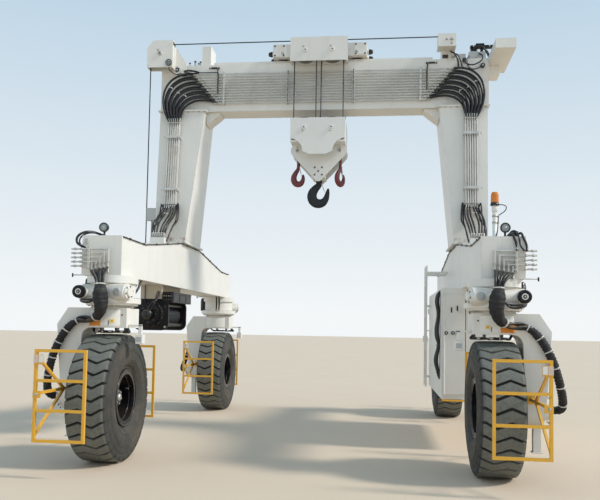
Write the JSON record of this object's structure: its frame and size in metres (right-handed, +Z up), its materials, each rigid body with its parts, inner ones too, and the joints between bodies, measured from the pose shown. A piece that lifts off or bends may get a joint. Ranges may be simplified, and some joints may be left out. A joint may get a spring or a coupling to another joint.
{
  "type": "straddle carrier",
  "caption": "Portal straddle carrier on steered wheels, with a trolley, hook block and side hooks, and hydraulic pipework on its beams.",
  "frame": {"origin": "on the ground under the middle of the machine's box", "axes": "+X across the machine to its right, +Y along its travel towards the rear, +Z up"},
  "size_m": [6.48, 8.449, 6.569],
  "materials": {
    "white_paint": "off-white gloss paint, dusty, with rust at edges and bolts",
    "yellow_paint": "yellow-orange gloss paint with scuffs",
    "black_paint": "black gloss paint",
    "red_paint": "dark red paint",
    "black_steel": "black forged steel",
    "pipe_steel": "bright drawn pipe",
    "sheave_steel": "machined steel, greased",
    "rope": "greased wire rope",
    "tyre": "black rubber with grey-green dust",
    "hose": "black rubber hose in woven sheath",
    "grey_paint": "mid grey paint",
    "amber": "amber lens"
  },
  "bodies": {
    "frame": {"side_beam_left": "white_paint", "side_beam_right": "white_paint", "leg_left": "white_paint", "leg_right": "white_paint", "crossbeam": "white_paint", "slew_drives": "white_paint", "beam_pipes": "pipe_steel", "leg_pipes": "pipe_steel", "corner_hoses": "hose", "leg_hoses": "hose", "end_pipes": "pipe_steel", "end_hoses": "hose", "sheave_housing": "white_paint", "top_sheave": "sheave_steel", "hoist_rope": "rope", "rope_stops": "white_paint", "overhang_box": "white_paint", "junction_boxes": "grey_paint", "work_lights": "grey_paint", "beacon": "amber", "ladder": "white_paint", "winch_frame": "black_paint", "winch_drum": "rope", "power_pack": "white_paint", "engine": "grey_paint"},
    "steer_fl": {"arm_fl": "white_paint", "guard_fl": "yellow_paint", "arm_hose_fl": "hose"},
    "wheel_fl": {"tyre_fl": "tyre", "rim_fl": "black_paint"},
    "steer_fr": {"arm_fr": "white_paint", "guard_fr": "yellow_paint", "arm_hose_fr": "hose"},
    "wheel_fr": {"tyre_fr": "tyre", "rim_fr": "black_paint"},
    "steer_rl": {"arm_rl": "white_paint", "guard_rl": "yellow_paint", "arm_hose_rl": "hose"},
    "wheel_rl": {"tyre_rl": "tyre", "rim_rl": "black_paint"},
    "steer_rr": {"arm_rr": "white_paint", "guard_rr": "yellow_paint", "arm_hose_rr": "hose"},
    "wheel_rr": {"tyre_rr": "tyre", "rim_rr": "black_paint"},
    "trolley": {"trolley_frame": "white_paint", "trolley_wheels": "black_paint", "trolley_sheaves": "sheave_steel", "hoist_falls": "rope"},
    "block": {"block_frame": "white_paint", "block_sheaves": "sheave_steel"},
    "hook": {"main_hook": "black_steel"},
    "hook_left": {"side_hook_left": "red_paint"},
    "hook_right": {"side_hook_right": "red_paint"},
    "door_service": {"door_service": "white_paint"},
    "door_front": {"door_front": "white_paint"},
    "door_rear": {"door_rear": "white_paint"}
  },
  "joints": [
    {"name": "steer_fl", "type": "hinge", "parent": "frame", "child": "steer_fl", "pos_m": [-2.41, -3, 2.01], "axis": [0, 0, 1], "range_deg": [-90, 90]},
    {"name": "steer_fr", "type": "hinge", "parent": "frame", "child": "steer_fr", "pos_m": [2.41, -3, 2.01], "axis": [0, 0, 1], "range_deg": [-90, 90]},
    {"name": "steer_rl", "type": "hinge", "parent": "frame", "child": "steer_rl", "pos_m": [-2.41, 3, 2.01], "axis": [0, 0, 1], "range_deg": [-90, 90]},
    {"name": "steer_rr", "type": "hinge", "parent": "frame", "child": "steer_rr", "pos_m": [2.41, 3, 2.01], "axis": [0, 0, 1], "range_deg": [-90, 90]},
    {"name": "spin_fl", "type": "hinge", "parent": "steer_fl", "child": "wheel_fl", "pos_m": [-2.41, -3, 0.81], "axis": [1, 0, 0], "continuous": true},
    {"name": "spin_fr", "type": "hinge", "parent": "steer_fr", "child": "wheel_fr", "pos_m": [2.41, -3, 0.81], "axis": [1, 0, 0], "continuous": true},
    {"name": "spin_rl", "type": "hinge", "parent": "steer_rl", "child": "wheel_rl", "pos_m": [-2.41, 3, 0.81], "axis": [1, 0, 0], "continuous": true},
    {"name": "spin_rr", "type": "hinge", "parent": "steer_rr", "child": "wheel_rr", "pos_m": [2.41, 3, 0.81], "axis": [1, 0, 0], "continuous": true},
    {"name": "trolley_travel", "type": "slide", "parent": "frame", "child": "trolley", "axis": [1, 0, 0], "range_m": [-0.93, 0.93]},
    {"name": "hoist", "type": "slide", "parent": "trolley", "child": "block", "axis": [0, 0, 1], "range_m": [-3, 0.15], "deforming": ["hoist_falls"]},
    {"name": "hook_swivel", "type": "hinge", "parent": "block", "child": "hook", "pos_m": [-0.02, 0, 4.33], "axis": [0, 0, 1], "continuous": true},
    {"name": "hook_left_swing", "type": "hinge", "parent": "block", "child": "hook_left", "pos_m": [-0.377, 0, 4.708], "axis": [0, 1, 0], "range_deg": [-10, 60]},
    {"name": "hook_right_swing", "type": "hinge", "parent": "block", "child": "hook_right", "pos_m": [0.337, 0, 4.708], "axis": [0, 1, 0], "range_deg": [-60, 10]},
    {"name": "door_service_hinge", "type": "hinge", "parent": "frame", "child": "door_service", "pos_m": [1.96, -1.3753, 1.5], "axis": [0, 0, -1], "range_deg": [0, 110]},
    {"name": "door_front_hinge", "type": "hinge", "parent": "frame", "child": "door_front", "pos_m": [2.8053, -1.31, 1.5], "axis": [0, 0, -1], "range_deg": [0, 110]},
    {"name": "door_rear_hinge", "type": "hinge", "parent": "frame", "child": "door_rear", "pos_m": [2.8053, 1.31, 1.5], "axis": [0, 0, 1], "range_deg": [0, 110]}
  ]
}
